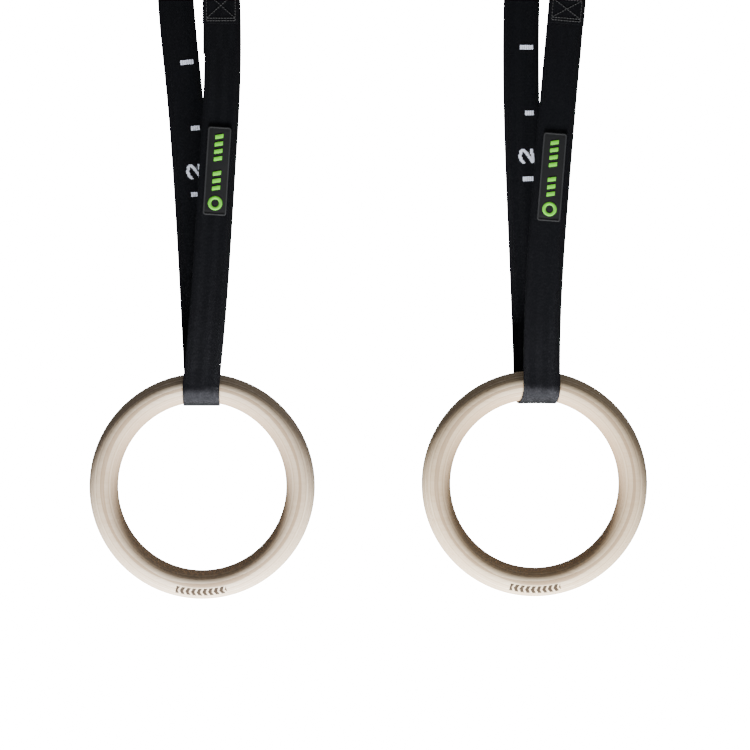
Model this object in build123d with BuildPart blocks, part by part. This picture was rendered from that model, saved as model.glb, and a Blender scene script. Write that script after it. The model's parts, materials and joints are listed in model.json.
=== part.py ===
from build123d import *

import os
from dataclasses import dataclass
from math import atan2, cos, degrees, radians, sin, sqrt

# A pair of gymnastics rings. Each birch plywood ring hangs in a loop of flat webbing that
# passes over an overhead bar and is closed by a cam buckle.
#
# Frame: millimetres, X along the overhead bar, -Y the front, +Z up. The origin is on the
# bar's axis, midway between the two straps.

# ---- Driving dimensions -------------------------------------------------------------------
RING_OUTER_D = 235.0
TUBE_D = 30.0
RING_SPACING = 346.0
WEB_WIDTH = 38.0
WEB_THICK = 1.8
BAR_D = 32.0

SLING_CLEARANCE = 0.3  # webbing to the ring, at the webbing's two edges
LAP_CLEARANCE = 0.1  # between webbing layers that turn against each other
CUT_CLEARANCE = 0.5  # between two lengths of webbing that move apart
LOOP_CLEARANCE = 0.05  # sewn loop to the bar inside it

TWIST_ABOVE_RING = 428.0  # where the straps turn, above the ring's centre
SWAY_RADIUS = 60.0  # where the straps bend sideways, below the overhead bar

LABEL_WIDTH = 24.0
LABEL_LENGTH = 91.0
LABEL_THICK = 1.4
LABEL_BORDER = 1.6
LABEL_BORDER_RISE = 0.3
LABEL_CORNER_R = 2.5

MARK_PITCH = 69.2
MARK_LONG = 14.0
MARK_SHORT = 9.4
MARK_HEIGHT = 5.0
MARK_EDGE_MARGIN = 6.2
MARK_RISE = 0.15
NUMERAL_HEIGHT = 15.6
NUMERAL_WIDTH = 16.3
NUMERAL_STROKE = 2.4
NUMERAL_GAP = 15.7  # from the mark's middle to the numeral's near side

BUCKLE_SIDE_GAP = 1.0
CHEEK_THICK = 3.0
PLATE_THICK = 2.5
PLATE_BOTTOM = 13.0
PLATE_CLEARANCE = 0.1
SEWN_BAR_D = 6.0
BUCKLE_FOOT = 6.5
BUCKLE_HEIGHT = 46.0
BUCKLE_CORNER_R = 2.5
CHEEK_BAR_MARGIN = 2.5  # metal in front of the sewn bar
CHEEK_PIN_MARGIN = 1.0  # metal in front of the pin's head
CHEEK_NOSE_BELOW = 6.0  # the cheek's nose, from the pin's axis down
CHEEK_NOSE_ABOVE = 5.0
CHEEK_STEP = 5.0  # straight front edge above the sewn bar
PIN_D = 5.0
PIN_RUNNING_CLEARANCE = 0.05
PIN_HEAD_D = 8.0
PIN_HEAD_THICK = 1.2
PIVOT_HEIGHT = 30.0
CAM_REACH = 10.0
CAM_CLEARANCE = 0.1
CAM_BODY_R = 6.5
CAM_SIDE_GAP = 3.0
CAM_TEETH = 4
CAM_TOOTH_DEPTH = 0.7
CAM_TOOTHED_PART = 0.55  # toothed length as a part of the cam's reach
CAM_TOOTH_LAND = 0.5  # first tooth below the pin's axis
CAM_TOOTH_SLOPE = 0.8  # the tooth's long flank as a part of its pitch
CAM_TAB_INSET = 2.0
CAM_TAB_TIP = 0.75  # bead at the tab's end as a part of the tab's thickness
CAM_TAB_LENGTH = 24.0
CAM_TAB_THICK = 2.5
CAM_TAB_ANGLE = 22.0
SPRING_WIRE_D = 0.9
SPRING_TURNS = 1.5
SPRING_PITCH = 1.0
SPRING_GAP = 0.3

SEAM_START = 9.0  # where the two layers of the sewn end come together, below the sewn bar
SEAM_JOIN = 0.5
GRIP_START = 12.0  # where the numbered webbing leaves the base plate, above the sewn bar
TAIL_BEND = 5.0  # where the tail turns down behind the buckle, above the sewn bar
TAIL_CLEARANCE = 0.35
TAIL_LENGTH = 72.0
HEM_LENGTH = 10.0
STITCH_END_MARGIN = 3.0
STITCH_SIDE_MARGIN = 4.0
STITCH_WIDTH = 0.8
STITCH_RISE = 0.4

# ---- Worked out from them -----------------------------------------------------------------
TUBE_R = TUBE_D / 2
RING_MAJOR_R = (RING_OUTER_D - TUBE_D) / 2
RING_HOLE_R = RING_MAJOR_R - TUBE_R
HALF_WEB = WEB_WIDTH / 2
BAR_R = BAR_D / 2

# The webbing is straight across its width, so it rests on the curved tube at its edges.
EDGE_DROP = RING_HOLE_R - sqrt(RING_HOLE_R**2 - HALF_WEB**2)
SLING_INNER_R = TUBE_R + EDGE_DROP + SLING_CLEARANCE
SLING_OUTER_R = SLING_INNER_R + WEB_THICK
STRAND_INNER = max(SLING_OUTER_R, BAR_R + WEB_THICK) + LAP_CLEARANCE
STRAND_OUTER = STRAND_INNER + WEB_THICK

SEWN_BAR_R = SEWN_BAR_D / 2
SEWN_BAR_Y = -STRAND_OUTER
LOOP_INNER_R = SEWN_BAR_R + LOOP_CLEARANCE
LOOP_OUTER_R = LOOP_INNER_R + WEB_THICK
PLATE_FRONT_Y = -STRAND_INNER + PLATE_CLEARANCE
PLATE_BACK_Y = PLATE_FRONT_Y + PLATE_THICK
CHEEK_INNER_X = HALF_WEB + BUCKLE_SIDE_GAP
CHEEK_OUTER_X = CHEEK_INNER_X + CHEEK_THICK
PIVOT_Y = -STRAND_OUTER - CAM_CLEARANCE - CAM_REACH
CAM_HALF_WIDTH = CHEEK_INNER_X - CAM_SIDE_GAP
TAIL_FRONT_Y = SEWN_BAR_Y + LOOP_OUTER_R + TAIL_CLEARANCE
TAIL_BACK_Y = TAIL_FRONT_Y + WEB_THICK


@dataclass
class Side:
    """One ring and its strap; offsets are sideways from the ring's centre.

    The strand offsets are at equal steps from the tube's centre up to the sewn bar.
    """

    name: str
    ring_x: float
    drop: float  # ring's centre below the overhead bar
    bar_offset: float
    buckle_drop: float  # sewn bar below the overhead bar
    buckle_lean: float  # degrees, the top away to +X
    flap_length: float
    box_height: float
    label_top: float  # above the ring's centre
    first_mark: float  # lowest mark above the ring's centre
    first_mark_is_long: bool
    numeral_above: int  # the mark that the numeral stands above
    front_offsets: tuple
    rear_offsets: tuple

    @property
    def ring_z(self):
        return -self.drop

    @property
    def tube_z(self):
        return RING_MAJOR_R - self.drop

    @property
    def bar_x(self):
        return self.ring_x + self.bar_offset

    @property
    def twist_z(self):
        return self.ring_z + TWIST_ABOVE_RING

    @property
    def buckle_x(self):
        return self.ring_x + self.front_offsets[-1]

    @property
    def buckle_location(self):
        """Buckle frame: origin at the sewn bar in x and z, z along the strap."""
        return Location((self.buckle_x, 0, -self.buckle_drop), (0, self.buckle_lean, 0))


LEFT = Side(
    name="left",
    ring_x=-RING_SPACING / 2,
    drop=706.0,
    bar_offset=2.5,
    buckle_drop=186.0,
    buckle_lean=0.0,
    flap_length=41.9,
    box_height=29.0,
    label_top=371.5,
    first_mark=166.9,
    first_mark_is_long=True,
    numeral_above=2,
    front_offsets=(-0.2, 9.5, 16.2, 22.1, 21.0),
    rear_offsets=(-1.0, -6.4, -12.4, -20.5, -29.9),
)
RIGHT = Side(
    name="right",
    ring_x=RING_SPACING / 2,
    drop=703.4,
    bar_offset=5.0,
    buckle_drop=193.5,
    buckle_lean=4.9,
    flap_length=34.5,
    box_height=21.6,
    label_top=362.7,
    first_mark=180.5,
    first_mark_is_long=True,
    numeral_above=2,
    front_offsets=(6.5, 8.6, 15.7, 24.1, 33.6),
    rear_offsets=(-1.4, -4.8, -9.1, -12.3, -11.8),
)


def write(piece, name, location=None):
    """Label a finished piece, set it in its place and write its STEP file."""
    placed = piece.moved(location) if location else piece
    placed.label = name
    export_step(placed, f"parts/{name}.step")


# ---- Webbing strands ----------------------------------------------------------------------
def stations(side, offsets):
    """Centre line points (x, z) from the ring's tube up to the sewn bar's level."""
    top = -side.buckle_drop
    step = (top - side.tube_z) / (len(offsets) - 1)
    return [(side.ring_x + dx, side.tube_z + i * step) for i, dx in enumerate(offsets)]


def edge_of(points, shift):
    return [(x + shift, z) for x, z in points]


def strip_face(plane, points):
    """Flat strip of webbing along a centre line, drawn on a plane."""
    left, right = edge_of(points, -HALF_WEB), edge_of(points, HALF_WEB)
    with BuildSketch(plane) as strip:
        with BuildLine():
            Spline(*left)
            Line(left[-1], right[-1])
            Spline(*right)
            Line(right[0], left[0])
        make_face()
    return strip.sketch


def rear_face(side):
    """The whole rear strand, from the ring's tube to the overhead bar."""
    points = stations(side, side.rear_offsets) + [(side.bar_x, 0)]
    return strip_face(Plane.XZ.offset(-STRAND_OUTER), points)


def sewn_face(side):
    """The front strand's lower half, from the ring's tube to the sewn bar."""
    return strip_face(Plane.XZ.offset(STRAND_INNER), stations(side, side.front_offsets))


def numbered_face(side):
    """The front strand's upper half, straight in the buckle, then to the bar."""
    lean = radians(side.buckle_lean)
    across = (cos(lean), -sin(lean))
    up = (sin(lean), cos(lean))
    foot = (side.buckle_x, -side.buckle_drop)
    head = (foot[0] + up[0] * BUCKLE_HEIGHT, foot[1] + up[1] * BUCKLE_HEIGHT)
    corners = {
        s: [
            (foot[0] + s * across[0] * HALF_WEB, foot[1] + s * across[1] * HALF_WEB),
            (head[0] + s * across[0] * HALF_WEB, head[1] + s * across[1] * HALF_WEB),
            (side.bar_x + s * HALF_WEB, 0),
        ]
        for s in (-1, 1)
    }
    with BuildSketch(Plane.XZ.offset(STRAND_INNER)) as strip:
        with BuildLine():
            for corner in corners.values():
                Line(corner[0], corner[1])
                Spline(corner[1], corner[2], tangents=(up, (0, 1)))
            Line(corners[-1][0], corners[1][0])
            Line(corners[-1][2], corners[1][2])
        make_face()
    return strip.sketch


def strand(face, side, keep, name):
    """One length of a strand: its flat strip made thick, cut as keep says."""
    with BuildPart() as piece:
        extrude(face, amount=WEB_THICK)
        keep(side)
    write(piece.part, name)


def keep_top(side):
    with Locations((side.bar_x, 0, 0)):
        Cylinder(SWAY_RADIUS, 4 * WEB_WIDTH, rotation=(90, 0, 0), mode=Mode.INTERSECT)


def keep_below_top(side):
    radius = SWAY_RADIUS + CUT_CLEARANCE
    with Locations((side.bar_x, 0, 0)):
        Cylinder(radius, 4 * WEB_WIDTH, rotation=(90, 0, 0), mode=Mode.SUBTRACT)


def keep_above_twist(side):
    split(bisect_by=Plane.XY.offset(side.twist_z), keep=Keep.TOP)


def keep_below_twist(side):
    split(bisect_by=Plane.XY.offset(side.twist_z - CUT_CLEARANCE), keep=Keep.BOTTOM)


def keep_rear_upper(side):
    keep_below_top(side)
    keep_above_twist(side)


def local_cut(side, height):
    """Plane across the front strand at a height above the sewn bar."""
    return Plane(side.buckle_location).offset(height)


def keep_sewn_upper(side):
    keep_above_twist(side)
    split(bisect_by=local_cut(side, -SEAM_START), keep=Keep.BOTTOM)


def keep_numbered_upper(side):
    keep_below_top(side)
    split(bisect_by=local_cut(side, GRIP_START), keep=Keep.TOP)


def strands(side):
    n = side.name
    numbered, sewn, rear = numbered_face(side), sewn_face(side), rear_face(side)
    strand(numbered, side, keep_top, f"{n}_front_strand_top")
    strand(rear, side, keep_top, f"{n}_rear_strand_top")
    strand(numbered, side, keep_numbered_upper, f"{n}_numbered_strand")
    strand(sewn, side, keep_sewn_upper, f"{n}_sewn_strand")
    strand(rear, side, keep_rear_upper, f"{n}_rear_strand_upper")
    strand(sewn, side, keep_below_twist, f"{n}_front_strand_lower")
    strand(rear, side, keep_below_twist, f"{n}_rear_strand_lower")


# ---- Webbing loops ------------------------------------------------------------------------
def half_loop(x, z, inner_r, upward, name):
    """Half turn of webbing about an axis along X."""
    with BuildPart() as loop:
        with BuildSketch(Plane.YZ.offset(x)):
            with Locations((0, z)):
                Circle(inner_r + WEB_THICK)
                Circle(inner_r, mode=Mode.SUBTRACT)
            away = -1 if upward else 1
            with Locations((0, z + away * 2 * inner_r)):
                Rectangle(6 * inner_r, 4 * inner_r, mode=Mode.SUBTRACT)
        extrude(amount=HALF_WEB, both=True)
    write(loop.part, name)


def sewn_end(side):
    """Webbing round the sewn bar, its two layers meeting below, and the flap in front."""
    y = SEWN_BAR_Y
    inner, outer, seam = LOOP_INNER_R, LOOP_OUTER_R, -SEAM_START
    # Each layer leaves the bar along the tangent that ends where the layers meet, and they
    # are one from there down to the seam.
    apex = SEAM_START - SEAM_JOIN
    sine = LOOP_INNER_R / apex
    cosine = sqrt(1 - sine**2)
    with BuildPart() as end:
        with BuildSketch(Plane.YZ):
            with Locations((y, 0)):
                Circle(outer)
                Circle(inner, mode=Mode.SUBTRACT)
            with BuildLine():
                Polyline(
                    (y, 0),
                    (y + 3 * outer * cosine, -3 * outer * sine),
                    (y, -6 * outer),
                    (y - 3 * outer * cosine, -3 * outer * sine),
                    close=True,
                )
            make_face(mode=Mode.SUBTRACT)
            for s in (-1, 1):
                with BuildLine():
                    Polyline(
                        (y + s * inner * cosine, -inner * sine),
                        (y + s * outer * cosine, -outer * sine),
                        (y + s * WEB_THICK, seam),
                        (y, seam),
                        (y, -apex),
                        close=True,
                    )
                make_face()
            with Locations((y - WEB_THICK / 2, (seam - side.flap_length) / 2)):
                Rectangle(WEB_THICK, side.flap_length - SEAM_START)
        extrude(amount=HALF_WEB, both=True)
    write(end.part, f"{side.name}_sewn_end", side.buckle_location)


def tail(side):
    """Free end of the numbered webbing: back under the base plate, then hanging down."""
    front, back = -STRAND_OUTER, -STRAND_INNER
    bend = TAIL_BEND
    with BuildPart() as end:
        with BuildSketch(Plane.YZ):
            with BuildLine():
                Polyline(
                    (front, GRIP_START),
                    (back, GRIP_START),
                    (TAIL_BACK_Y, bend + WEB_THICK / 2),
                    (TAIL_BACK_Y, HEM_LENGTH - TAIL_LENGTH),
                    (TAIL_BACK_Y + WEB_THICK, HEM_LENGTH - TAIL_LENGTH),
                    (TAIL_BACK_Y + WEB_THICK, -TAIL_LENGTH),
                    (TAIL_FRONT_Y, -TAIL_LENGTH),
                    (TAIL_FRONT_Y, bend - WEB_THICK / 2),
                    close=True,
                )
            make_face()
        extrude(amount=HALF_WEB, both=True)
    write(end.part, f"{side.name}_tail", side.buckle_location)


def box_stitch(side):
    """Box and cross stitching that holds the sewn end."""
    width = WEB_WIDTH - 2 * STITCH_SIDE_MARGIN
    height = side.box_height
    middle = -side.flap_length + STITCH_END_MARGIN + height / 2
    corner_x = (width - STITCH_WIDTH) / 2
    corner_z = (height - STITCH_WIDTH) / 2
    with BuildPart() as stitch:
        with BuildSketch(Plane.XZ.offset(STRAND_OUTER + WEB_THICK)):
            with Locations((0, middle)):
                Rectangle(width, height)
                Rectangle(
                    width - 2 * STITCH_WIDTH,
                    height - 2 * STITCH_WIDTH,
                    mode=Mode.SUBTRACT,
                )
            for s in (-1, 1):
                with BuildLine():
                    Line((-s * corner_x, middle - corner_z), (s * corner_x, middle + corner_z))
                trace(line_width=STITCH_WIDTH)
        extrude(amount=STITCH_RISE)
    write(stitch.part, f"{side.name}_box_stitch", side.buckle_location)


# ---- Cam buckle, in the buckle frame ------------------------------------------------------
def buckle_frame(side):
    """Base plate behind the webbing, between two cheeks."""
    foot_y = SEWN_BAR_Y - SEWN_BAR_R - CHEEK_BAR_MARGIN
    nose_y = PIVOT_Y - PIN_HEAD_D / 2 - CHEEK_PIN_MARGIN
    with BuildPart() as frame:
        with BuildSketch(Plane.YZ.offset(CHEEK_INNER_X)) as cheek:
            with BuildLine():
                Polyline(
                    (PLATE_BACK_Y, -BUCKLE_FOOT),
                    (foot_y, -BUCKLE_FOOT),
                    (foot_y, SEWN_BAR_R + CHEEK_STEP),
                    (nose_y, PIVOT_HEIGHT - CHEEK_NOSE_BELOW),
                    (nose_y, PIVOT_HEIGHT + CHEEK_NOSE_ABOVE),
                    (foot_y, BUCKLE_HEIGHT),
                    (PLATE_BACK_Y, BUCKLE_HEIGHT),
                    close=True,
                )
            make_face()
            fillet(cheek.vertices(), BUCKLE_CORNER_R)
            with Locations((SEWN_BAR_Y, 0)):
                Circle(SEWN_BAR_R, mode=Mode.SUBTRACT)
            with Locations((PIVOT_Y, PIVOT_HEIGHT)):
                Circle(PIN_D / 2, mode=Mode.SUBTRACT)
        extrude(amount=CHEEK_THICK)
        mirror(about=Plane.YZ)
        plate_top = BUCKLE_HEIGHT - BUCKLE_CORNER_R
        middle = (PLATE_FRONT_Y + PLATE_BACK_Y) / 2, (PLATE_BOTTOM + plate_top) / 2
        with Locations((0, *middle)):
            Box(2 * CHEEK_INNER_X, PLATE_THICK, plate_top - PLATE_BOTTOM)
    write(frame.part, f"{side.name}_buckle_frame", side.buckle_location)


def cross_pin(side, y, z, radius, head_d, name):
    """Pin across the buckle, its ends riveted outside the cheeks."""
    with BuildPart() as pin:
        with BuildSketch(Plane.YZ):
            with Locations((y, z)):
                Circle(radius)
        extrude(amount=CHEEK_OUTER_X, both=True)
        for plane in (
            Plane.YZ.offset(CHEEK_OUTER_X),
            Plane.YZ.offset(-CHEEK_OUTER_X - PIN_HEAD_THICK),
        ):
            with BuildSketch(plane):
                with Locations((y, z)):
                    Circle(head_d / 2)
            extrude(amount=PIN_HEAD_THICK)
        ends = pin.faces().sort_by(Axis.X)
        chamfer(ends[0].edges() + ends[-1].edges(), PIN_HEAD_THICK / 3)
    write(pin.part, f"{side.name}_{name}", side.buckle_location)


def cam_lever(side):
    """Toothed cam on the pin, with its thumb tab up and outwards."""
    face_y = PIVOT_Y + CAM_REACH
    tooth = CAM_REACH * CAM_TOOTHED_PART / CAM_TEETH
    teeth = []
    for i in range(CAM_TEETH):
        top = PIVOT_HEIGHT - CAM_TOOTH_LAND - i * tooth
        teeth += [(face_y, top), (face_y - CAM_TOOTH_DEPTH, top - tooth * CAM_TOOTH_SLOPE)]
    lean = radians(CAM_TAB_ANGLE)
    out = (-sin(lean), cos(lean))
    root_y = PIVOT_Y - cos(lean) * (CAM_BODY_R - CAM_TAB_INSET)
    root = (root_y, PIVOT_HEIGHT - sin(lean) * CAM_TAB_INSET)
    tip = (root[0] + out[0] * CAM_TAB_LENGTH, root[1] + out[1] * CAM_TAB_LENGTH)
    with BuildPart() as cam:
        with BuildSketch(Plane.YZ):
            with Locations((PIVOT_Y, PIVOT_HEIGHT)):
                Circle(CAM_BODY_R)
            with BuildLine():
                Polyline(
                    (PIVOT_Y, PIVOT_HEIGHT + CAM_BODY_R),
                    *teeth,
                    (PIVOT_Y, PIVOT_HEIGHT - CAM_BODY_R),
                    close=True,
                )
            make_face()
            with BuildLine():
                Line(root, tip)
            trace(line_width=CAM_TAB_THICK)
            with Locations(tip):
                Circle(CAM_TAB_THICK * CAM_TAB_TIP)
            with Locations((PIVOT_Y, PIVOT_HEIGHT)):
                Circle(PIN_D / 2 + PIN_RUNNING_CLEARANCE, mode=Mode.SUBTRACT)
        extrude(amount=CAM_HALF_WIDTH, both=True)
    write(cam.part, f"{side.name}_cam_lever", side.buckle_location)


def cam_spring(side):
    """Coil of the torsion spring, round the pin between the cam and a cheek."""
    coil_r = PIN_D / 2 + SPRING_GAP + SPRING_WIRE_D / 2
    first_x = CAM_HALF_WIDTH + SPRING_GAP + SPRING_WIRE_D / 2
    with BuildPart() as spring:
        with BuildLine() as path:
            turns = Helix(
                SPRING_PITCH,
                SPRING_PITCH * SPRING_TURNS,
                coil_r,
                center=(first_x, PIVOT_Y, PIVOT_HEIGHT),
                direction=(1, 0, 0),
            )
        with BuildSketch(Plane(turns @ 0, z_dir=turns % 0)):
            Circle(SPRING_WIRE_D / 2)
        sweep(path=path.wires()[0])
    write(spring.part, f"{side.name}_cam_spring", side.buckle_location)


def buckle(side):
    buckle_frame(side)
    cross_pin(side, SEWN_BAR_Y, 0, SEWN_BAR_R, SEWN_BAR_D + 2, "sewn_bar")
    cross_pin(side, PIVOT_Y, PIVOT_HEIGHT, PIN_D / 2, PIN_HEAD_D, "cam_pin")
    cam_lever(side)
    cam_spring(side)


# ---- Label and scale ----------------------------------------------------------------------
def point_on(side, offsets, z):
    """Centre line x of a strand at z, and the strand's lean in degrees there."""
    points = stations(side, offsets)
    for (x0, z0), (x1, z1) in zip(points, points[1:]):
        if z <= z1:
            break
    share = (z - z0) / (z1 - z0)
    return x0 + share * (x1 - x0), degrees(atan2(x1 - x0, z1 - z0))


def label(side):
    """Moulded rubber label with a raised border, on the front strand."""
    middle_z = side.ring_z + side.label_top - LABEL_LENGTH / 2
    x, lean = point_on(side, side.front_offsets, middle_z)
    with BuildPart() as plate:
        with BuildSketch(Plane.XZ.offset(STRAND_OUTER)):
            with Locations(Location((x, middle_z), -lean)):
                RectangleRounded(LABEL_WIDTH, LABEL_LENGTH, LABEL_CORNER_R)
        extrude(amount=LABEL_THICK)
        with BuildSketch(Plane.XZ.offset(STRAND_OUTER + LABEL_THICK)):
            with Locations(Location((x, middle_z), -lean)):
                RectangleRounded(LABEL_WIDTH, LABEL_LENGTH, LABEL_CORNER_R)
                RectangleRounded(
                    LABEL_WIDTH - 2 * LABEL_BORDER,
                    LABEL_LENGTH - 2 * LABEL_BORDER,
                    LABEL_CORNER_R - LABEL_BORDER / 2,
                    mode=Mode.SUBTRACT,
                )
        extrude(amount=LABEL_BORDER_RISE)
    write(plate.part, f"{side.name}_label")


def mark_heights(side):
    """Every scale mark as (z, is long), from the lowest up to the sewn bar's level."""
    marks = []
    z = side.ring_z + side.first_mark
    is_long = side.first_mark_is_long
    while z < -side.buckle_drop:
        marks.append((z, is_long))
        z += MARK_PITCH
        is_long = not is_long
    return marks


def scale_marks(side, marks, name):
    """Woven scale marks at the right edge of the rear strand's front face."""
    with BuildPart() as scale_part:
        with BuildSketch(Plane.XZ.offset(-STRAND_INNER)):
            for z, is_long in marks:
                x, lean = point_on(side, side.rear_offsets, z)
                length = MARK_LONG if is_long else MARK_SHORT
                right = x + HALF_WEB - MARK_EDGE_MARGIN
                with Locations(Location((right - length / 2, z), -lean)):
                    Rectangle(length, MARK_HEIGHT)
        extrude(amount=MARK_RISE)
    write(scale_part.part, name)


def scale_numeral(side):
    """Figure two, reading upwards along the strap, between two marks."""
    z = mark_heights(side)[side.numeral_above][0] + NUMERAL_GAP + NUMERAL_WIDTH / 2
    x, lean = point_on(side, side.rear_offsets, z)
    x += HALF_WEB - MARK_EDGE_MARGIN - NUMERAL_HEIGHT / 2
    w, h = (NUMERAL_WIDTH - NUMERAL_STROKE) / 2, (NUMERAL_HEIGHT - NUMERAL_STROKE) / 2
    with BuildPart() as numeral:
        with BuildSketch(Plane.XZ.offset(-STRAND_INNER)):
            with Locations(Location((x, z), 90 - lean)):
                with BuildSketch(mode=Mode.PRIVATE) as figure:
                    with BuildLine():
                        Polyline((-w, h), (w, h), (w, 0), (-w, 0), (-w, -h), (w, -h))
                    trace(line_width=NUMERAL_STROKE)
                add(figure.sketch)
        extrude(amount=MARK_RISE)
    write(numeral.part, f"{side.name}_scale_numeral")


def markings(side):
    label(side)
    margin = MARK_LONG
    marks = mark_heights(side)
    upper = [m for m in marks if m[0] > side.twist_z + margin]
    lower = [m for m in marks if m[0] < side.twist_z - margin]
    scale_marks(side, upper, f"{side.name}_scale_marks_upper")
    scale_marks(side, lower, f"{side.name}_scale_marks_lower")
    scale_numeral(side)


# ---- Ring ---------------------------------------------------------------------------------
def ring(side):
    with BuildPart() as hoop:
        with Locations((side.ring_x, 0, side.ring_z)):
            Torus(RING_MAJOR_R, TUBE_R, rotation=(90, 0, 0))
    write(hoop.part, f"{side.name}_ring")


os.makedirs("parts", exist_ok=True)
for each in (LEFT, RIGHT):
    half_loop(each.bar_x, 0, BAR_R, True, f"{each.name}_bar_loop")
    strands(each)
    sewn_end(each)
    tail(each)
    box_stitch(each)
    buckle(each)
    markings(each)
    half_loop(each.ring_x, each.tube_z, SLING_INNER_R, False, f"{each.name}_sling")
    ring(each)
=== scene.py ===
"""Looks of a pair of gymnastics rings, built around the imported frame.

Metres throughout: X along the overhead bar, -Y the front, +Z up, the origin on the
overhead bar's axis midway between the straps.
"""

from __future__ import annotations

import json
import logging
import math
from collections.abc import Iterable
from dataclasses import dataclass
from enum import Enum

import bpy
from mathutils import Matrix, Vector


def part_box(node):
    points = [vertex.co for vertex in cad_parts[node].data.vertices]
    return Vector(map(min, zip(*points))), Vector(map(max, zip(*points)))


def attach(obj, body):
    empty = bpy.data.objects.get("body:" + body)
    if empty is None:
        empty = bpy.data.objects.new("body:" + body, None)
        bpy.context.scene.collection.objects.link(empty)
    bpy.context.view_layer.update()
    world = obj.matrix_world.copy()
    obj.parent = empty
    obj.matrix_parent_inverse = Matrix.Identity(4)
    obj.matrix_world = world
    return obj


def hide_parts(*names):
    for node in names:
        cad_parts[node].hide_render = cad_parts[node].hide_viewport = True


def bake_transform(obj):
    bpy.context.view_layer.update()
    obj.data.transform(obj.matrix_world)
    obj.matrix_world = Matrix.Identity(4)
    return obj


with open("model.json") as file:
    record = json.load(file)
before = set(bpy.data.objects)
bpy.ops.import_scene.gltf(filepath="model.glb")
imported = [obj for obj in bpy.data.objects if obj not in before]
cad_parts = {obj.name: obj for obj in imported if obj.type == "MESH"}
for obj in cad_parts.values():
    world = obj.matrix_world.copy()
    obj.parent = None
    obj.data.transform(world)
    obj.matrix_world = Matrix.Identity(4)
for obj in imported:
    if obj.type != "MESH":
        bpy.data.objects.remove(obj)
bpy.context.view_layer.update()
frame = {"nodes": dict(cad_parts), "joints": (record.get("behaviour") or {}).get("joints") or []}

LOG = logging.getLogger("rings")
MM = 0.001
LOOK_SHIFT = 7 * MM
LOOK_RISE = 115.6 * MM
CLOTH_MAP = "cloth"


class Hand(Enum):
    """Which of the two rings."""

    LEFT = "left"
    RIGHT = "right"


class Strand(Enum):
    """Which of a strap's two hanging lengths."""

    FRONT = "front"
    REAR = "rear"


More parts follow.
